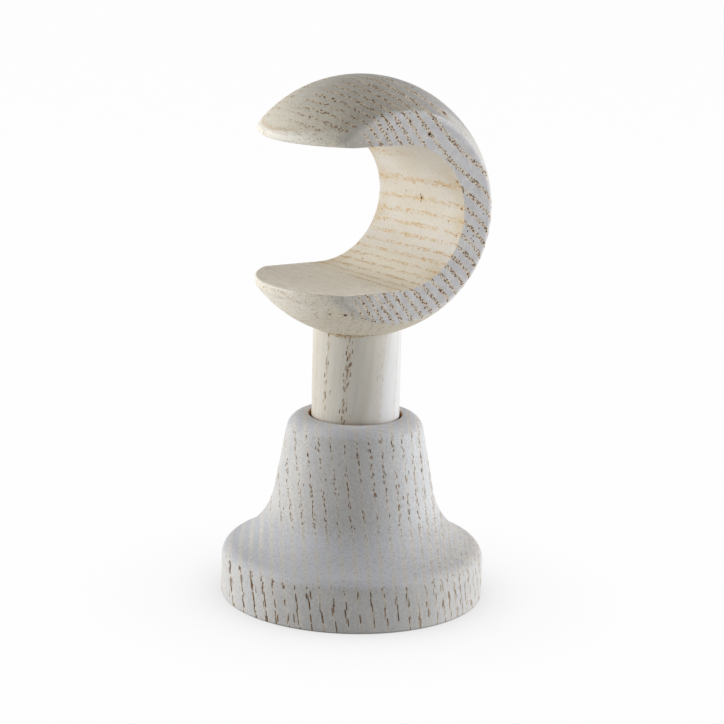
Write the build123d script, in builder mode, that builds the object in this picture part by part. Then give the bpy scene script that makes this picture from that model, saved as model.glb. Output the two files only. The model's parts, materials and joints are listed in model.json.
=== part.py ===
"""Wooden curtain pole bracket: a turned bell base, a dowel stem and an open ball cup for the pole.

Millimetres. The origin is the centre of the base's flat back, the face that goes against the wall.
+Z runs out from the wall along the stem, the pole lies along Y, and the cup's mouth opens towards -X.
"""
import os
from math import sqrt

from build123d import *

# Pole and cup
pole_diameter = 28.0
pole_clearance = 0.6  # the bore is this much wider than the pole
pole_projection = 81.0  # from the wall to the pole's axis
ball_diameter = 52.5
cup_width = 32.5  # between the two sawn faces, along the pole
cup_edge_radius = 1.2  # sanded round on the lips and round the sawn faces

# Stem
stem_diameter = 18.0
stem_chamfer = 0.8
glue_gap = 0.05  # all round, between the stem and its hole in the cup
bore_web = 4.5  # wood left between the stem's end and the bore

# Base
base_diameter = 54.0
base_height = 38.0
back_edge_radius = 0.4
rim_height = 10.1  # where the cove would meet the rim
shoulder_radius = 3.5  # round between the rim and the cove
flank_foot_diameter = 32.8  # where the straight flank turns into the cove
flank_foot_height = 21.9
neck_diameter = 27.0  # where the flank would meet the top
crown_radius = 3.6  # round between the flank and the top
socket_clearance = 0.5  # all round, the stem stands loosely in the base
socket_depth = 26.0
socket_edge_radius = 0.3

# Wall screw, which goes through the base into the stem
screw_hole_diameter = 6.5
pilot_diameter = 4.8
pilot_depth = 25.0

# Sizes that follow
base_radius = base_diameter / 2
stem_radius = stem_diameter / 2
ball_radius = ball_diameter / 2
bore_radius = (pole_diameter + pole_clearance) / 2
socket_floor = base_height - socket_depth
stem_top = pole_projection - bore_radius - bore_web

os.makedirs("parts", exist_ok=True)

# Base: one turning, revolved from its half section, with a blind socket for the stem
back_corner = (base_radius, 0)
rim_corner = (base_radius, rim_height)
neck_corner = (neck_diameter / 2, base_height)
turned_edges = {
    back_corner: back_edge_radius,
    rim_corner: shoulder_radius,
    neck_corner: crown_radius,
}
with BuildPart() as base:
    with BuildSketch(Plane.XZ) as half_section:
        with BuildLine():
            flank = Line(neck_corner, (flank_foot_diameter / 2, flank_foot_height))
            TangentArc(flank @ 1, rim_corner, tangent=flank % 1)
            Polyline(rim_corner, back_corner, (0, 0), (0, base_height), neck_corner)
        make_face()
        for corner, radius in turned_edges.items():
            fillet(half_section.vertices().sort_by_distance(corner)[0], radius)
    revolve(axis=Axis.Z)
    with Locations((0, 0, base_height)):
        Hole(stem_radius + socket_clearance, depth=socket_depth)
    socket_wall = base.faces().filter_by(GeomType.CYLINDER).sort_by(Axis.Z)[-1]
    fillet(socket_wall.edges().filter_by(GeomType.CIRCLE).sort_by(Axis.Z)[-1], socket_edge_radius)
    Hole(screw_hole_diameter / 2)
base.part.label = "base"
export_step(base.part, "parts/base.step")

# Stem: a plain dowel that stands on the socket's floor and is glued into the cup
stem_foot = Plane.XY.offset(socket_floor)
with BuildPart() as stem:
    with BuildSketch(stem_foot):
        Circle(stem_radius)
    extrude(amount=stem_top - socket_floor)
    chamfer(stem.edges().filter_by(GeomType.CIRCLE), stem_chamfer)
    with BuildSketch(stem_foot):
        Circle(pilot_diameter / 2)
    extrude(amount=pilot_depth, mode=Mode.SUBTRACT)
stem.part.label = "stem"
export_step(stem.part, "parts/stem.step")

# Cup: a ball sawn flat on two sides, bored for the pole and opened by a mouth as high as the bore.
# The sanded rounds take at most a third of the sawn face's narrow ring.
pole_axis = Plane((0, 0, pole_projection), x_dir=(1, 0, 0), z_dir=(0, -1, 0))
face_radius = sqrt(ball_radius**2 - (cup_width / 2) ** 2)
sanded_radius = min(cup_edge_radius, (face_radius - bore_radius) / 3)
with BuildPart() as cup:
    with Locations(pole_axis.location):
        Sphere(ball_radius)
        Box(ball_diameter, ball_diameter, cup_width, mode=Mode.INTERSECT)
    with BuildSketch(pole_axis):
        Circle(bore_radius)
        Rectangle(ball_radius, 2 * bore_radius, align=(Align.MAX, Align.CENTER))
    extrude(amount=cup_width, both=True, mode=Mode.SUBTRACT)
    arcs = cup.edges().filter_by(GeomType.CIRCLE)
    lips = arcs.filter_by(Plane.XY).sort_by(SortBy.RADIUS)[-2:]
    face_rims = arcs.filter_by(Plane.XZ).sort_by(SortBy.RADIUS)[-2:]
    fillet(lips + face_rims, sanded_radius)
    with BuildSketch(Plane.XY.offset(stem_top)):
        Circle(stem_radius + glue_gap)
    extrude(amount=-ball_radius, mode=Mode.SUBTRACT)
cup.part.label = "cup"
export_step(cup.part, "parts/cup.step")
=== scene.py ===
import json
import math

import bpy
from mathutils import Matrix, Vector, noise


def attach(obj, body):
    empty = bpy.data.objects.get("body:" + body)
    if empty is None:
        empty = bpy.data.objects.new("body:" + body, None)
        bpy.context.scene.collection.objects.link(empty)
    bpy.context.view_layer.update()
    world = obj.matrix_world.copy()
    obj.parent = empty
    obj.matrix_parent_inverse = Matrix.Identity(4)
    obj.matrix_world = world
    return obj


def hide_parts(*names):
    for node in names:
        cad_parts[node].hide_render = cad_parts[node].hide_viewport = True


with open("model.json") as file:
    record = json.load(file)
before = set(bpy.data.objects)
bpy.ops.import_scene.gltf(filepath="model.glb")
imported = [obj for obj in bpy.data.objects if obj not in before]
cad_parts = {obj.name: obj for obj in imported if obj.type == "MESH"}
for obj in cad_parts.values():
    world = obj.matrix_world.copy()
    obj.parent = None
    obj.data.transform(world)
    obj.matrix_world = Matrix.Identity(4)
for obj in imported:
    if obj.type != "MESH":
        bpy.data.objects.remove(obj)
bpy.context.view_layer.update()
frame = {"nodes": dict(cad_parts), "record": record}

# Base: a bell turned from one block of ash with its fibre along the stem, then limed white-grey.
# On the rim and flank the open pores show brown; on the flange and the crown the lime has filled them.
# The socket, the screw hole and the sawn back were cut after the liming and are raw wood.
MM = 0.001
base = frame["nodes"]["base"]
socket_radius_mm = 9.5
rim_radius_mm = 27.0
upright = Vector((0.0, 0.0, 1.0))
base_across = Vector((0.859, -0.511, 0.0))
base_round = Vector((0.511, 0.859, 0.0))
base_lean = 0.13
base_rings = [[10.195], [3.858], [-0.124], [0.174], [0.067]]


def stain(red, green, blue):
    """A colour as a painter's chart gives it, 0 to 255, for a shader."""
    shares = [level / 255 for level in (red, green, blue)]
    return (*[s / 12.92 if s <= 0.04045 else ((s + 0.055) / 1.055) ** 2.4 for s in shares], 1.0)


def add(tree, kind, feeds=(), **settings):
    """A shader node with its settings; each feed is a link or a plain value for that socket."""
    node = tree.nodes.new("ShaderNode" + kind)
    for setting, value in settings.items():
        setattr(node, setting, value)
    for socket, value in dict(feeds).items():
        if isinstance(value, bpy.types.NodeSocket):
            tree.links.new(value, node.inputs[socket])
        else:
            node.inputs[socket].default_value = value
    return node


def calc(tree, operation, *feeds):
    """One sum on numbers."""
    return add(tree, "Math", enumerate(feeds), operation=operation).outputs[0]


def times(tree, first, *others):
    """Numbers multiplied together."""
    for other in others:
        first = calc(tree, "MULTIPLY", first, other)
    return first


def scaled(tree, value, factor, start):
    """A number times a factor, counted from a start."""
    return calc(tree, "MULTIPLY_ADD", value, factor, start)


def either(tree, first, second):
    """The larger of two shares."""
    return calc(tree, "MAXIMUM", first, second)


def rest_of(tree, share):
    """What a share leaves of the whole."""
    return calc(tree, "SUBTRACT", 1.0, share)


def rise(tree, value, start, end):
    """0 up to start and 1 from end on, with a soft step between; downwards if end is the lower."""
    feeds = {"Value": value, "From Min": start, "From Max": end}
    return add(tree, "MapRange", feeds, interpolation_type="SMOOTHSTEP").outputs["Result"]


def shift(tree, operation, *feeds):
    """One sum on places or directions."""
    return add(tree, "VectorMath", enumerate(feeds), operation=operation).outputs[0]


def gauge(tree, operation, *feeds):
    """One number taken from places or directions, such as a length."""
    return add(tree, "VectorMath", enumerate(feeds), operation=operation).outputs["Value"]


def measures(tree, place):
    """The three measures of a place or direction."""
    return add(tree, "SeparateXYZ", {0: place}).outputs


def surface_point(tree):
    """The point of the surface, in the bracket's own frame."""
    return add(tree, "TexCoord").outputs["Object"]


def coat(tree, under, over, amount):
    """The colour over laid on the colour under, as thick as amount says."""
    return add(tree, "Mix", {0: amount, 6: under, 7: over}, data_type="RGBA").outputs[2]


def patches(tree, place, scale, detail):
    """Soft random patches, from 0 to 1."""
    feeds = {"Vector": place, "Scale": scale, "Detail": detail}
    return add(tree, "TexNoise", feeds).outputs["Fac"]


def fibre_lines(tree, grain, width, length, detail=3.0):
    """Fine lines along the fibre, from 0 to 1."""
    return patches(tree, shift(tree, "DIVIDE", grain, (width, width, length)), 1.0, detail)


def grain_place(tree, across, round_ring, fibre, middle, wander, twist=0.0):
    """Where a point lies in the wood, in mm: across the rings, round a ring and along the fibre.
    With a twist, in radians a metre, the fibre winds round the upright axis."""
    point = shift(tree, "SUBTRACT", surface_point(tree), middle)
    if twist:
        turn = times(tree, measures(tree, point)[2], twist)
        turned = add(tree, "VectorRotate", {"Vector": point, "Angle": turn}, rotation_type="Z_AXIS")
        point = turned.outputs[0]
    parts = [gauge(tree, "DOT_PRODUCT", point, way / MM) for way in (across, round_ring, fibre)]
    straight = add(tree, "CombineXYZ", enumerate(parts)).outputs[0]
    slow = shift(tree, "MULTIPLY", straight, (0.05, 0.05, 0.035))
    drift = add(tree, "TexNoise", {"Vector": slow, "Scale": 1.0, "Detail": 2.0}).outputs["Color"]
    drift = shift(tree, "SUBTRACT", drift, (0.5, 0.5, 0.5))
    return shift(tree, "ADD", straight, shift(tree, "MULTIPLY", drift, (wander, wander, 0.0)))


def ring_start(tree, grain, rings):
    """How far a place lies beyond the start of its yearly ring and before the start of the next, in mm,
    and as a part of the ring. The ring's number is a sum of powers of the way across, each with powers
    of the way round, in cm."""
    across, round_ring, _ = measures(tree, shift(tree, "MULTIPLY", grain, (0.1, 0.1, 0.1)))
    number, crowd = 0.0, 0.0
    for row in reversed(rings):
        share = row[-1]
        for power in reversed(row[:-1]):
            share = scaled(tree, share, round_ring, power)
        crowd = scaled(tree, crowd, across, number)
        number = scaled(tree, number, across, share)
    width = calc(tree, "DIVIDE", 10.0, crowd)
    part = calc(tree, "FRACT", number)
    return times(tree, part, width), times(tree, rest_of(tree, part), width), part


def cut_pores(tree, grain, rings, cell, early, open_share, late_share, widen):
    """Vessels that the surface cuts open: tubes along the fibre, mostly in a ring's early wood, one a cell.
    Gives how deep in an open tube a point lies, a soft rim round it, the tubes that lime has filled,
    each from 0 to 1, and a number for each tube."""
    place = shift(tree, "DIVIDE", grain, cell)
    cells = add(tree, "TexVoronoi", {"Vector": place, "Scale": 1.0}, feature="F1", voronoi_dimensions="3D")
    middle = cells.outputs["Position"]
    beyond, _, part = ring_start(tree, shift(tree, "MULTIPLY", middle, cell), rings)
    luck, size, tone = add(tree, "SeparateColor", {0: cells.outputs["Color"]}).outputs
    in_early = times(tree, rise(tree, beyond, early, 0.75 * early), rise(tree, part, 0.42, 0.3))
    chance = scaled(tree, in_early, open_share - late_share, late_share)
    kept = calc(tree, "LESS_THAN", luck, chance)
    offset = shift(tree, "SUBTRACT", place, middle)
    sideways = gauge(tree, "LENGTH", shift(tree, "MULTIPLY", offset, (1, 1, 0)))
    lengthways = calc(tree, "ABSOLUTE", measures(tree, offset)[2])
    within = rise(tree, lengthways, 0.52, 0.4)
    radius = calc(tree, "ADD", scaled(tree, size, 0.24, 0.24), widen)
    tube = times(tree, rise(tree, sideways, radius, times(tree, radius, 0.55)), within)
    rim = rise(tree, sideways, times(tree, radius, 1.9), times(tree, radius, 0.9))
    filled = times(tree, tube, in_early, rest_of(tree, kept))
    return times(tree, tube, kept), times(tree, rim, within, kept), filled, tone


def new_wood(name):
    """An empty material with a matt shader and the links to its output."""
    wood = bpy.data.materials.new(name)
    wood.use_nodes = True
    tree = wood.node_tree
    tree.nodes.clear()
    matt = add(tree, "BsdfPrincipled", {"Specular IOR Level": 0.3})
    tree.links.new(matt.outputs[0], add(tree, "OutputMaterial").inputs["Surface"])
    return wood, tree, matt


def finish_wood(tree, matt, colour, height, depth_mm, smooth, rough, roughness_by):
    """Colour, roughness and relief on the matt shader; height 1 lies depth_mm above height 0."""
    tree.links.new(colour, matt.inputs["Base Color"])
    feeds = {"Value": roughness_by, "To Min": smooth, "To Max": rough}
    tree.links.new(add(tree, "MapRange", feeds).outputs["Result"], matt.inputs["Roughness"])
    relief = add(tree, "Bump", {"Height": height, "Distance": depth_mm * MM, "Strength": 1.0})
    tree.links.new(relief.outputs[0], matt.inputs["Normal"])


base_wood, tree, matt = new_wood("base_limed_ash")
grain = grain_place(
    tree, base_across + base_lean * upright, base_round, upright - base_lean * base_across,
    middle=Vector((0, 0, 0)), wander=0.7)
right_way = measures(tree, grain)[0]
beyond, before, _ = ring_start(tree, grain, base_rings)
point = shift(tree, "DIVIDE", surface_point(tree), (MM, MM, MM))
height_up = measures(tree, point)[2]
from_axis = gauge(tree, "LENGTH", shift(tree, "MULTIPLY", point, (1, 1, 0)))
facing = measures(tree, add(tree, "NewGeometry").outputs["Normal"])[2]
end_grain = rise(tree, facing, 0.3, 0.65)
on_rim = rise(tree, from_axis, rim_radius_mm - 3.0, rim_radius_mm - 0.5)
in_socket = rise(tree, from_axis, socket_radius_mm + 0.25, socket_radius_mm + 0.1)
raw = either(tree, in_socket, rise(tree, height_up, 0.1, 0.03))

# The base's lime: greyer and bluer in patches, thick and white on the end grain, in fine lines and specks
lines = fibre_lines(tree, grain, 0.22, 9.0)
mottle = fibre_lines(tree, grain, 6.0, 18.0, 2.0)
speckle = patches(tree, grain, 2.2, 3.0)
colour = coat(tree, stain(204, 205, 206), stain(213, 212, 209), rise(tree, mottle, 0.35, 0.65))
bluer = times(tree, rise(tree, right_way, 2.0, 10.0), scaled(tree, on_rim, -0.45, 0.8))
colour = coat(tree, colour, stain(219, 222, 227), bluer)
colour = coat(tree, colour, stain(182, 177, 171), times(tree, rise(tree, lines, 0.52, 0.75), 0.35))
colour = coat(tree, colour, stain(227, 225, 221), times(tree, rise(tree, lines, 0.48, 0.28), 0.35))
# Painted shade and light by the side that faces the camera, between the two softboxes: the flank and rim
# are painted darker in front, and the end grain's thick lime is painted lighter in front
front = calc(tree, "DIVIDE", gauge(tree, "DOT_PRODUCT", point, -base_round), from_axis)
front = rise(tree, front, 0.45, 0.95)
colour = coat(tree, colour, stain(190, 188, 185), times(tree, rise(tree, front, 0.5, 1.0), 0.35))
thick_lime_painted_front_light = coat(tree, stain(193, 195, 201), stain(220, 222, 229), front)
colour = coat(tree, colour, thick_lime_painted_front_light, times(tree, end_grain, 0.85))
stripe = either(tree, rise(tree, beyond, 1.15, 0.3), rise(tree, before, 0.45, 0.0))
patchy = rise(tree, fibre_lines(tree, grain, 1.6, 7.0), 0.25, 0.6)
stripe = times(tree, stripe, patchy, scaled(tree, end_grain, 0.3, 0.22))
colour = coat(tree, colour, stain(229, 221, 204), stripe)
colour = coat(tree, colour, stain(176, 172, 168), times(tree, rise(tree, speckle, 0.48, 0.72), 0.4))
colour = coat(tree, colour, stain(238, 236, 232), times(tree, rise(tree, speckle, 0.46, 0.25), 0.45))
colour = coat(tree, colour, coat(tree, stain(190, 148, 100), stain(150, 108, 66), lines), raw)
# A painted contact shadow: a dark brown-grey line along the bottom edge, where the base meets the table
painted_foot_shadow = times(tree, rise(tree, height_up, 0.5, 0.1), 0.6)
colour = coat(tree, colour, stain(112, 100, 88), painted_foot_shadow)

# The base's pores: long and wide on the rim, more so to the left, worn away in places
left = add(tree, "MapRange", {"Value": right_way, "From Min": 12.0, "From Max": -18.0}).outputs["Result"]
wide = times(tree, on_rim, scaled(tree, left, 0.2, -0.02))
longer = scaled(tree, on_rim, -0.55, 1.0)
stretch = add(tree, "CombineXYZ", {0: 1.0, 1: 1.0, 2: longer}).outputs[0]
deep, rim, filled, tone = cut_pores(
    tree, shift(tree, "MULTIPLY", grain, stretch), base_rings, cell=(0.32, 0.32, 0.85), early=0.56,
    open_share=0.85, late_share=0.006, widen=wide)
worn = fibre_lines(tree, grain, 0.9, 2.6, 2.0)
faint = times(tree, rise(tree, right_way, -6.0, -15.0), rest_of(tree, on_rim))
worn = scaled(tree, faint, -0.1, scaled(tree, on_rim, 0.13, worn))
limed_flat = times(tree, end_grain, scaled(tree, rise(tree, right_way, 10.0, 20.0), -0.35, 0.95))
gate = times(tree, rise(tree, worn, 0.34, 0.5), rest_of(tree, limed_flat))
rim = times(tree, rim, gate)
deep = times(tree, deep, gate)
colour = coat(tree, colour, stain(226, 214, 194), times(tree, filled, rest_of(tree, end_grain), 0.5))
colour = coat(tree, colour, stain(200, 168, 128), times(tree, rim, 0.55))
pore_brown = coat(tree, stain(44, 31, 22), stain(128, 94, 62), tone)
pale_pores = times(tree, on_rim, rise(tree, right_way, 8.0, 18.0), 0.35)
colour = coat(tree, colour, pore_brown, times(tree, deep, calc(tree, "SUBTRACT", 0.93, pale_pores)))
height = scaled(tree, lines, 0.1, times(tree, deep, -1.0))
finish_wood(tree, matt, colour, height, depth_mm=0.14, smooth=0.55, rough=0.85, roughness_by=lines)
base.data.materials.clear()
base.data.materials.append(base_wood)

# Stem: a plain dowel of creamy ash, limed thinly, its fibre a little off its own axis.
# It stands loosely in the base's socket and is glued into the cup.
# Two rows of open pores run down its front; on the other side they are filled.
stem = frame["nodes"]["stem"]
stem_middle = Vector((0, 0, 0.045))
stem_lean = 0.05
stem_twist = -8.0
stem_ring_turn = math.radians(10)
stem_across = math.sin(stem_ring_turn) * base_across - math.cos(stem_ring_turn) * base_round
stem_round = math.cos(stem_ring_turn) * base_across + math.sin(stem_ring_turn) * base_round
stem_rings = [[20.1], [3.636]]
stem_wood, tree, matt = new_wood("stem_limed_ash")
grain = grain_place(
    tree, stem_across, stem_round - stem_lean * upright, upright + stem_lean * stem_round,
    middle=stem_middle, wander=0.5, twist=stem_twist)
across, round_ring, _ = measures(tree, grain)
beyond, _, _ = ring_start(tree, grain, stem_rings)
lines = fibre_lines(tree, grain, 0.3, 40.0)
fine = fibre_lines(tree, grain, 0.12, 12.0)
mottle = fibre_lines(tree, grain, 3.0, 30.0, 2.0)
colour = coat(tree, stain(216, 210, 197), stain(226, 222, 212), rise(tree, mottle, 0.35, 0.65))
colour = coat(tree, colour, stain(206, 199, 184), times(tree, rise(tree, round_ring, -3.0, -8.0), 0.45))
colour = coat(tree, colour, stain(231, 233, 236), times(tree, rise(tree, round_ring, 0.0, 6.0), 0.85))
colour = coat(tree, colour, stain(206, 196, 180), times(tree, rise(tree, lines, 0.53, 0.72), 0.3))
colour = coat(tree, colour, stain(238, 236, 230), times(tree, rise(tree, fine, 0.5, 0.3), 0.5))
stripe = times(tree, rise(tree, beyond, 0.0, 0.12), rise(tree, beyond, 0.8, 0.3))
colour = coat(tree, colour, stain(210, 194, 166), times(tree, stripe, 0.16))
deep, rim, _, tone = cut_pores(
    tree, grain, stem_rings, cell=(0.34, 0.34, 1.0), early=0.6,
    open_share=0.8, late_share=0.004, widen=-0.02)
gate = scaled(tree, rise(tree, round_ring, 1.0, -1.5), 0.85, 0.15)
gate = times(tree, gate, rise(tree, fibre_lines(tree, grain, 1.2, 3.0, 2.0), 0.3, 0.45))
gate = times(tree, gate, scaled(tree, rise(tree, across, 4.7, 3.7), -0.85, 1.0))
rim = times(tree, rim, gate)
deep = times(tree, deep, gate)
colour = coat(tree, colour, stain(194, 170, 128), times(tree, rim, 0.5))
pore_brown = coat(tree, stain(84, 60, 32), stain(156, 122, 78), tone)
colour = coat(tree, colour, pore_brown, times(tree, deep, 0.9))
height = scaled(tree, fine, 0.1, times(tree, deep, -1.0))
finish_wood(tree, matt, colour, height, depth_mm=0.12, smooth=0.5, rough=0.8, roughness_by=fine)
stem.data.materials.clear()
stem.data.materials.append(stem_wood)

# Cup: a ball of ash, sawn flat on two sides across the fibre, bored for the pole and opened to one side.
# The sawn faces are end grain with slanting rows of pores; the bore and lips were cut last and stay cream.
# The lower lip was rounded before its flat was cut, so its edge is crisp, where the solid's is round.
pole_saddle = frame["record"]["mounts"][2]
pole_axis = Vector(pole_saddle["pos_m"])
bore_radius_mm = pole_saddle["dims"]["r_mm"]
half_width_mm = pole_saddle["dims"]["length_mm"] / 2
cup_ring_turn = math.radians(43.5)
cup_across = Vector((-math.cos(cup_ring_turn), 0.0, -math.sin(cup_ring_turn)))
cup_round = Vector((-math.sin(cup_ring_turn), 0.0, math.cos(cup_ring_turn)))
cup_fibre = Vector((-0.16, 1.0, 0.08))
cup_across.y = -cup_across.dot(cup_fibre)
cup_round.y = -cup_round.dot(cup_fibre)
cup_rings = [
    [18.084, 0.616, 0.713, -0.067, -0.108],
    [5.424, 0.684, -0.113, -0.116],
    [0.53, -0.058, -0.199],
    [-0.027, -0.076],
]
ball_radius_mm = 26.25
round_lip_mm = 1.2
crisp_lip_mm = 0.3
filled_lip_mm = round_lip_mm - crisp_lip_mm
near_mm = 0.01
lip_flat_mm = math.sqrt((ball_radius_mm - round_lip_mm) ** 2 - (bore_radius_mm + round_lip_mm) ** 2)
cup_shape = frame["nodes"]["cup"].data.copy()
for vertex in cup_shape.vertices:
    place = (vertex.co - pole_axis) / MM
    below_flat = -bore_radius_mm - place.z
    from_stem = math.hypot(place.x, place.y)
    on_lip = -near_mm < below_flat < round_lip_mm and from_stem > lip_flat_mm - near_mm
    if place.x < 0.0 and on_lip:
        up = 1.0 - below_flat / round_lip_mm
        out = math.sqrt(max(0.0, 1.0 - up**2))
        from_stem += filled_lip_mm * (1.0 - out)
        place.x = -math.sqrt(from_stem**2 - place.y**2)
        place.z += filled_lip_mm * (1.0 - up)
        vertex.co = pole_axis + place * MM
cup = bpy.data.objects.new("cup_crisp_lip", cup_shape)
bpy.context.scene.collection.objects.link(cup)
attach(cup, "root")
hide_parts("cup")

# The cup's three kinds of surface: bored, sawn with a slightly uneven edge, and the turned ball
cup_wood, tree, matt = new_wood("cup_limed_ash")
sawn_middle = pole_axis - Vector((0, half_width_mm * MM, 0))
grain = grain_place(tree, cup_across, cup_round, cup_fibre, middle=sawn_middle, wander=0.3)
beyond, before, _ = ring_start(tree, grain, cup_rings)
point = shift(tree, "SUBTRACT", surface_point(tree), pole_axis)
point = shift(tree, "DIVIDE", point, (MM, MM, MM))
mouth_way, pole_way, up_way = measures(tree, point)
aside = calc(tree, "ABSOLUTE", pole_way)
closed_side = either(tree, mouth_way, 0.0)
from_bore = add(tree, "CombineXYZ", {0: closed_side, 1: 0.0, 2: up_way}).outputs[0]
bored = rise(tree, gauge(tree, "LENGTH", from_bore), bore_radius_mm + 0.12, bore_radius_mm + 0.03)
uneven = patches(tree, point, 0.6, 3.0)
to_face = scaled(tree, uneven, 1.3, aside)
sawn = rise(tree, to_face, half_width_mm - 0.05, half_width_mm + 0.12)
sawn = times(tree, sawn, rest_of(tree, bored))
ball = rest_of(tree, either(tree, sawn, bored))
lines = fibre_lines(tree, grain, 0.25, 12.0)
mottle = fibre_lines(tree, grain, 7.0, 14.0, 2.0)
speckle = patches(tree, grain, 2.2, 3.0)
streaky = rise(tree, mottle, 0.35, 0.65)
softer = rise(tree, mottle, 0.3, 0.7)

# The cup's lime: blue-grey on the sawn faces, beige on the ball towards the mouth, grey on its far side
blue_grey = coat(tree, stain(203, 202, 206), stain(209, 208, 210), streaky)
# The sawn faces turn a darker warm grey towards the mouth: painted shade at the faces' ends by the lips
face_end_painted_shade = coat(tree, stain(182, 177, 167), stain(191, 187, 179), streaky)
colour = coat(tree, face_end_painted_shade, blue_grey, rise(tree, mouth_way, -13.0, 0.0))
beige = coat(tree, stain(216, 209, 194), stain(224, 218, 203), softer)
light_beige = coat(tree, stain(225, 217, 197), stain(232, 225, 207), softer)
beige = coat(tree, beige, light_beige, rise(tree, mouth_way, 0.0, -9.0))
warm_side = times(tree, ball, rise(tree, mouth_way, 11.0, 2.0))
colour = coat(tree, colour, beige, warm_side)
shade_edge = times(tree, rise(tree, to_face, half_width_mm - 5.0, half_width_mm - 0.6), warm_side)
shade_edge = times(tree, shade_edge, rise(tree, up_way, 14.5, 19.0))
colour = coat(tree, colour, stain(168, 161, 150), times(tree, shade_edge, 0.42))
# Painted shade on the ball's top, greyed where it faces up
dome_top_painted_shade = times(tree, ball, rise(tree, up_way, 17.0, 25.0), 0.5)
colour = coat(tree, colour, stain(184, 181, 178), dome_top_painted_shade)
far_side = times(tree, ball, rise(tree, mouth_way, 0.0, 7.0))
far_grey = times(tree, far_side, rise(tree, up_way, -22.0, 9.0), 0.85)
colour = coat(tree, colour, stain(178, 177, 177), far_grey)
# A pale band on the ball's far side, next to the sawn faces: partly lime that fills the pores, partly
# painted light from the right softbox
pale_band_lime_and_light = times(tree, far_side, rise(tree, mouth_way, 8.0, 12.0), rise(tree, aside, 11.0, 13.8))
colour = coat(tree, colour, stain(224, 223, 219), times(tree, pale_band_lime_and_light, 0.7))
torn = times(
    tree, rise(tree, to_face, half_width_mm - 0.15, half_width_mm + 0.1),
    rise(tree, to_face, half_width_mm + 0.9, half_width_mm + 0.3), rise(tree, speckle, 0.42, 0.55),
    rise(tree, mouth_way, -8.0, -5.0), 0.85)
colour = coat(tree, colour, stain(238, 237, 237), torn)

# The lips and the ball's underside: nearly white, as painted bounce light from the table below, with a
# painted highlight along the lower lip's edge and a brown line where the lime begins
lip_edge = calc(tree, "SUBTRACT", calc(tree, "ABSOLUTE", up_way), bore_radius_mm)
lip_edge = scaled(tree, aside, -0.07, lip_edge)
lip_edge = scaled(tree, uneven, 0.8, lip_edge)
at_mouth = rise(tree, mouth_way, -6.0, -9.0)
upper = rise(tree, up_way, -2.0, 2.0)
lower = rise(tree, up_way, 2.0, -2.0)
lip = times(tree, rise(tree, lip_edge, 2.75, 2.15), at_mouth)
# Painted bounce light on the lip bands and the ball's underside, brightest towards the tip
underside_painted_bounce = times(tree, rise(tree, up_way, -8.0, -15.0), rise(tree, mouth_way, 15.0, 3.0))
pale = times(tree, either(tree, lip, underside_painted_bounce), ball)
painted_bounce_tip = coat(tree, stain(232, 224, 206), stain(247, 242, 228), rise(tree, mouth_way, -13.0, -19.0))
colour = coat(tree, colour, painted_bounce_tip, pale)
# On the lips the painted bounce light fades to painted shade towards the corners by the sawn faces, and it
# is a little darker on the lower lip
lip_painted_bounce = coat(tree, stain(251, 247, 236), stain(238, 232, 216), rise(tree, aside, 9.0, 15.0))
lip_painted_bounce = coat(tree, lip_painted_bounce, stain(235, 228, 212), times(tree, lower, 0.8))
colour = coat(tree, colour, lip_painted_bounce, times(tree, lip, ball, 0.9))
# A painted highlight: a thin near-white line along the lower lip's edge
below_lip = calc(tree, "SUBTRACT", times(tree, up_way, -1.0), bore_radius_mm)
painted_edge_highlight = times(tree, rise(tree, below_lip, 0.35, 0.2), rise(tree, aside, 12.0, 7.0))
painted_edge_highlight = times(tree, painted_edge_highlight, lower, ball, at_mouth)
colour = coat(tree, colour, stain(252, 248, 238), painted_edge_highlight)
lip_line = times(tree, rise(tree, lip_edge, 3.2, 2.6), rise(tree, lip_edge, 2.0, 2.5))
lip_line = times(tree, lip_line, rise(tree, mottle, 0.42, 0.56), ball, at_mouth, upper, 0.45)
colour = coat(tree, colour, stain(200, 164, 118), lip_line)
# Painted shade in the corners where the lips meet the sawn faces, a greyer white than the lips' band
corner_painted_shade = times(
    tree, rise(tree, aside, half_width_mm - 1.7, half_width_mm - 0.9), rise(tree, mouth_way, -6.0, -10.0),
    rise(tree, aside, half_width_mm, half_width_mm - 0.25), 0.85)
colour = coat(tree, colour, stain(217, 212, 203), corner_painted_shade)

# The bore and the lips' flats: cream, lightest on the flats
cream = coat(tree, stain(221, 215, 205), stain(215, 207, 192), softer)
cream = coat(tree, cream, stain(242, 234, 217), rise(tree, up_way, -9.0, -14.0))
cream = coat(tree, cream, stain(222, 216, 205), rise(tree, up_way, 7.0, 12.0))
colour = coat(tree, colour, cream, bored)
lip_flat = times(tree, bored, rise(tree, mouth_way, 0.0, -4.0))
flat_white = coat(tree, stain(247, 240, 226), stain(254, 248, 234), rise(tree, mouth_way, -12.0, -20.0))
colour = coat(tree, colour, flat_white, lip_flat)
in_bore = calc(tree, "SUBTRACT", bored, lip_flat)

# The cup's fibre: fine lines and specks all over, golden streaks of early wood in the bore
gold_lines = times(tree, rise(tree, fibre_lines(tree, grain, 0.4, 3.5), 0.55, 0.7), pale, 0.45)
colour = coat(tree, colour, stain(198, 168, 122), gold_lines)
dark_lines = times(tree, rise(tree, lines, 0.5, 0.72), either(tree, ball, lip_flat), 0.42)
colour = coat(tree, colour, stain(172, 161, 142), dark_lines)
colour = coat(tree, colour, stain(238, 232, 219), times(tree, rise(tree, lines, 0.46, 0.3), ball, 0.4))
colour = coat(tree, colour, stain(176, 172, 166), times(tree, rise(tree, speckle, 0.48, 0.72), 0.3))
lit_specks = times(tree, rise(tree, speckle, 0.46, 0.25), scaled(tree, bored, -0.3, 0.4))
colour = coat(tree, colour, stain(238, 234, 226), lit_specks)
streaked_bore = times(tree, in_bore, rise(tree, up_way, 11.5, 8.5))
stripe = either(tree, rise(tree, beyond, 0.9, 0.5), rise(tree, before, 0.15, 0.0))
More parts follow.
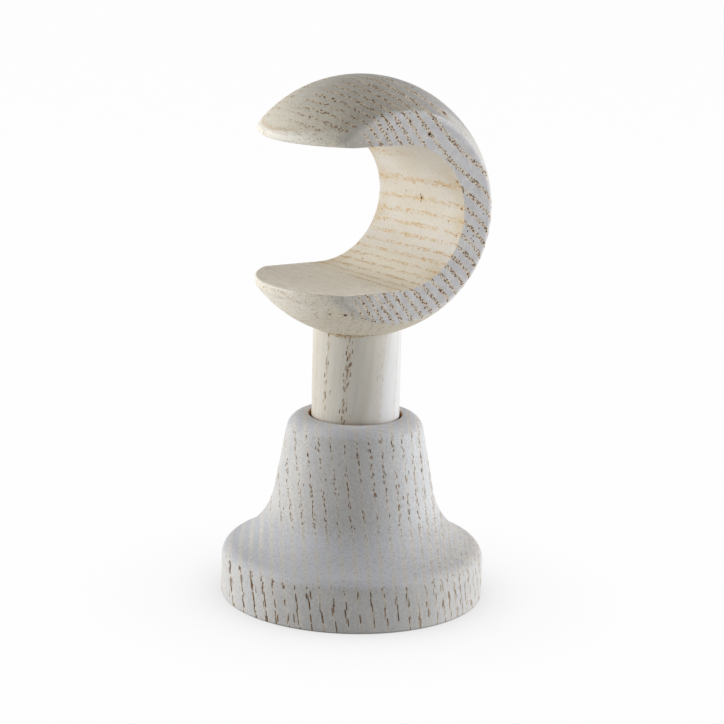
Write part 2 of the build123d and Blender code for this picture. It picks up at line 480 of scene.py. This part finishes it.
streaks = times(tree, stripe, streaked_bore, rise(tree, fibre_lines(tree, grain, 0.5, 9.0), 0.42, 0.68))
colour = coat(tree, colour, stain(203, 175, 116), times(tree, streaks, 0.62))
edge_gold = times(tree, streaked_bore, rise(tree, aside, 10.0, 16.0), rise(tree, mottle, 0.35, 0.6), 0.3)
colour = coat(tree, colour, stain(200, 170, 112), edge_gold)

# The cup's pores: dots on the sawn faces, dashes on the ball, fewer where lime or sanding closed them
worn = rise(tree, fibre_lines(tree, grain, 1.6, 5.0, 2.0), 0.25, 0.4)
steep_cut = either(tree, sawn, rise(tree, aside, 1.0, 4.5))
clear_of_tip = either(tree, sawn, rise(tree, mouth_way, -22.0, -12.0))
to_lip = scaled(tree, rise(tree, up_way, 3.0, -3.0), 1.2, mouth_way)
clear_of_lip = either(tree, ball, rise(tree, to_lip, -11.0, -7.0))
unlimed = scaled(tree, either(tree, pale, pale_band_lime_and_light), -0.9, 1.0)
gate = times(tree, worn, steep_cut, clear_of_tip, clear_of_lip, unlimed, rest_of(tree, bored))
colour = coat(tree, colour, stain(219, 207, 187), times(tree, stripe, gate, 0.5))
fleck, _, filled, _ = cut_pores(
    tree, grain, cup_rings, cell=(0.27, 0.27, 0.5), early=1.05,
    open_share=0.5, late_share=0.003, widen=0.1)
colour = coat(tree, colour, stain(205, 166, 112), times(tree, fleck, gate, 0.6))
colour = coat(tree, colour, stain(240, 232, 216), times(tree, filled, gate, 0.65))
pale_flecks = times(tree, fleck, pale, rise(tree, speckle, 0.47, 0.6), 0.85)
colour = coat(tree, colour, stain(166, 131, 72), pale_flecks)
wide = scaled(tree, ball, -0.07, 0.09)
deep, rim, filled, tone = cut_pores(
    tree, grain, cup_rings, cell=(0.37, 0.37, 0.6), early=0.85,
    open_share=0.72, late_share=0.006, widen=wide)
bore_gate = times(tree, streaked_bore, rise(tree, tone, 0.3, 0.9), worn)
colour = coat(tree, colour, stain(206, 168, 110), times(tree, rim, bore_gate, 0.5))
colour = coat(tree, colour, stain(180, 134, 74), times(tree, deep, bore_gate, 0.5))
colour = coat(tree, colour, stain(240, 230, 212), times(tree, filled, gate, 0.8))
rim = times(tree, rim, gate)
deep = times(tree, deep, gate)
# Pore rims: some golden wood, the others cream as a painted highlight on the pore's lit edge
rim_gold_and_painted_highlight = coat(tree, stain(204, 164, 110), stain(238, 228, 206), rise(tree, tone, 0.4, 0.6))
colour = coat(tree, colour, rim_gold_and_painted_highlight, times(tree, rim, 0.6))
pore_brown = coat(tree, stain(38, 26, 17), stain(128, 88, 50), tone)
colour = coat(tree, colour, pore_brown, times(tree, deep, scaled(tree, ball, -0.08, 0.95)))

# The few large pits, each by its place from the middle of the bore and its size, and the marks of boring
pits_mm = [
    (14.3, -0.3, 0.7, 1.0), (14.2, 0.0, 1.3, 0.55), (14.3, 0.0, -0.1, 0.5), (12.9, -15.5, 6.3, 1.0),
    (14.3, -15.3, 0.8, 0.9), (10.4, -13.7, 19.8, 1.5), (5.5, -16.3, 16.2, 1.1), (-11.5, -14.6, -18.5, 1.1),
    (-13.7, -12.5, -18.5, 0.7), (14.1, -10.9, -2.4, 0.5), (13.5, -14.7, -4.6, 0.6), (6.2, 9.0, -12.9, 0.6),
]
to_pit = 9.0
for x, y, z, size in pits_mm:
    away = gauge(tree, "DISTANCE", point, (x, y, z))
    to_pit = calc(tree, "MINIMUM", to_pit, calc(tree, "DIVIDE", away, size))
colour = coat(tree, colour, stain(196, 152, 92), times(tree, rise(tree, to_pit, 0.7, 0.35), 0.45))
pit = rise(tree, to_pit, 0.36, 0.2)
golden_pit = times(tree, in_bore, rise(tree, aside, 6.0, 10.0))
colour = coat(tree, colour, coat(tree, stain(44, 30, 18), stain(158, 108, 44), golden_pit), pit)
boring_marks = patches(tree, shift(tree, "MULTIPLY", point, (0.05, 3.0, 0.05)), 1.0, 2.0)
height = scaled(tree, lines, 0.1, times(tree, either(tree, deep, pit), -1.0))
height = calc(tree, "ADD", height, times(tree, boring_marks, bored, 0.12))
finish_wood(tree, matt, colour, height, depth_mm=0.14, smooth=0.55, rough=0.85, roughness_by=lines)
cup.data.materials.clear()
cup.data.materials.append(cup_wood)

# Glue line: the bead of yellow wood glue and torn fibre that was pressed out where the stem enters the cup.
# It is uneven, thickest at the front left, and dried hard.
stem_radius_mm = 9.0
glue_height_mm = pole_axis.z / MM - math.sqrt(ball_radius_mm**2 - stem_radius_mm**2)
glue_sink_mm = 0.02
glue_steps = 360
glue_sides = 8
glue_thin_mm = 0.012
glue_thick_mm = 0.5
glue_front = math.atan2(-0.697, -0.716)
glue_narrow = 32
glue_run_down = 2.0
points = []
faces = []
for step in range(glue_steps):
    angle = 2 * math.pi * step / glue_steps
    way = Vector((math.cos(angle), math.sin(angle), 0.0))
    patch = 0.5 + 0.5 * math.cos(angle - glue_front)
    lump = max(0.0, 0.5 + 0.8 * noise.noise(way * 14.0) + 0.5 * noise.noise(way * 37.0))
    thick = glue_thin_mm + (glue_thick_mm - glue_thin_mm) * min(1.0, 1.3 * lump) * patch**glue_narrow
    for side in range(glue_sides):
        turn = 2 * math.pi * side / glue_sides
        out = stem_radius_mm + 0.5 * thick * math.cos(turn)
        run = glue_run_down if math.sin(turn) < 0 else 1.0
        up = glue_height_mm - glue_sink_mm + thick * math.sin(turn) * run
        points.append((way * out + Vector((0, 0, up))) * MM)
for step in range(glue_steps):
    here = step * glue_sides
    there = (step + 1) % glue_steps * glue_sides
    for side in range(glue_sides):
        after = (side + 1) % glue_sides
        faces.append((here + side, there + side, there + after, here + after))
bead = bpy.data.meshes.new("glue_line")
bead.from_pydata(points, [], faces)
bead.shade_smooth()
glue_line = bpy.data.objects.new("glue_line", bead)
bpy.context.scene.collection.objects.link(glue_line)
glue, tree, matt = new_wood("dried_glue")
point = shift(tree, "DIVIDE", surface_point(tree), (MM, MM, MM))
specks = patches(tree, point, 2.6, 3.0)
crumbs = patches(tree, point, 7.0, 2.0)
colour = coat(tree, stain(226, 218, 198), stain(188, 156, 96), rise(tree, crumbs, 0.42, 0.55))
colour = coat(tree, colour, stain(104, 78, 40), rise(tree, specks, 0.57, 0.64))
finish_wood(tree, matt, colour, crumbs, depth_mm=0.08, smooth=0.35, rough=0.6, roughness_by=specks)
bead.materials.append(glue)
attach(glue_line, "root")

# Floor: a plain white table, wide enough to fill the view, that keeps the bracket's soft shadow.
# It looks white by a glow of its own, which greys close to the base in a painted contact shadow from
# ambient occlusion, and gives little of it to the wood.
floor_radius = 4.0
floor_drop = 0.02 * MM
shadow_reach = 0.03
glow_given = 0.2
glow_seen = 0.78


def seen_rays(tree):
    """1 for what the camera sees, also in gloss or glass, and 0 for light on its way to the wood."""
    path = add(tree, "LightPath").outputs
    in_gloss = either(tree, path["Is Glossy Ray"], path["Is Transmission Ray"])
    return either(tree, path["Is Camera Ray"], in_gloss)


bpy.ops.mesh.primitive_circle_add(
    radius=floor_radius, vertices=96, fill_type="NGON", location=(0, 0, -floor_drop))
floor = bpy.context.object
floor.name = "floor"
floor_white = bpy.data.materials.new("floor_white")
floor_white.use_nodes = True
tree = floor_white.node_tree
tree.nodes.clear()
paint = add(tree, "BsdfDiffuse", {"Color": (0.86, 0.86, 0.86, 1.0)}).outputs[0]
# Painted contact shadow: the glow greys where the base hides the floor from its surroundings
open_floor = add(tree, "AmbientOcclusion", {"Distance": shadow_reach}).outputs["AO"]
glow_white = coat(tree, (0.6, 0.6, 0.6, 1), (1, 1, 1, 1), open_floor)
glow = add(tree, "Emission", {"Color": glow_white, "Strength": 1.0}).outputs[0]
glow_share = scaled(tree, seen_rays(tree), glow_seen, glow_given)
table = add(tree, "MixShader", {0: glow_share, 1: paint, 2: glow}).outputs[0]
tree.links.new(table, add(tree, "OutputMaterial").inputs["Surface"])
floor.data.materials.append(floor_white)

# Light: two large softboxes, one on each side and a little behind, and a weak even light all round.
# The room behind the bracket is plain white.
camera_turn = math.radians(30.75)
aim = Vector((0, 0, 0.055))
room_light = 0.28


def softbox(name, from_camera, above, distance, side, watts):
    """A square softbox, placed by its angles from the camera's direction and above the table."""
    lamp = bpy.data.lights.new(name, "AREA")
    lamp.shape = "SQUARE"
    lamp.size = side
    lamp.energy = watts
    turn = math.radians(from_camera)
    lift = math.radians(above)
    way = Vector((math.sin(turn) * math.cos(lift), -math.cos(turn) * math.cos(lift), math.sin(lift)))
    way = Matrix.Rotation(-camera_turn, 3, "Z") @ way
    box = bpy.data.objects.new(name, lamp)
    bpy.context.scene.collection.objects.link(box)
    box.location = aim + way * distance
    box.rotation_euler = (-way).to_track_quat("-Z", "Y").to_euler()
    box.visible_camera = False


softbox("softbox_left", from_camera=-100, above=8, distance=0.8, side=0.5, watts=5.8)
softbox("softbox_right", from_camera=100, above=8, distance=0.8, side=0.5, watts=5.6)
world = bpy.data.worlds.new("studio")
bpy.context.scene.world = world
world.use_nodes = True
tree = world.node_tree
tree.nodes.clear()
feeds = {"Value": seen_rays(tree), "To Min": room_light, "To Max": 1.0}
level = add(tree, "MapRange", feeds).outputs["Result"]
sky = add(tree, "Background", {"Color": (1.0, 1.0, 1.0, 1.0), "Strength": level})
tree.links.new(sky.outputs[0], add(tree, "OutputWorld").inputs["Surface"])

# Camera: a long lens, a little above the bracket and turned off the pole's axis, as the photo shows it.
# It is rolled a little, because the bracket stands slightly aslant in the picture.
camera_away = 0.4516
camera_height = 0.1577
camera_down = math.radians(13.56)
camera_aside = math.radians(0.14)
camera_roll = math.radians(1.4)
picture_pixels = 724
focal_pixels = 2282.4
camera_data = bpy.data.cameras.new("camera")
camera_data.sensor_width = 36.0
camera_data.lens = focal_pixels / picture_pixels * camera_data.sensor_width
camera_data.clip_start = 0.01
camera = bpy.data.objects.new("camera", camera_data)
bpy.context.scene.collection.objects.link(camera)
camera_spot = (-camera_away * math.sin(camera_turn), -camera_away * math.cos(camera_turn), camera_height)
camera.matrix_world = (
    Matrix.Translation(camera_spot)
    @ Matrix.Rotation(-camera_turn - camera_aside, 4, "Z")
    @ Matrix.Rotation(math.pi / 2 - camera_down, 4, "X")
    @ Matrix.Rotation(camera_roll, 4, "Z"))
bpy.context.scene.camera = camera
bpy.context.scene.view_settings.view_transform = "Standard"
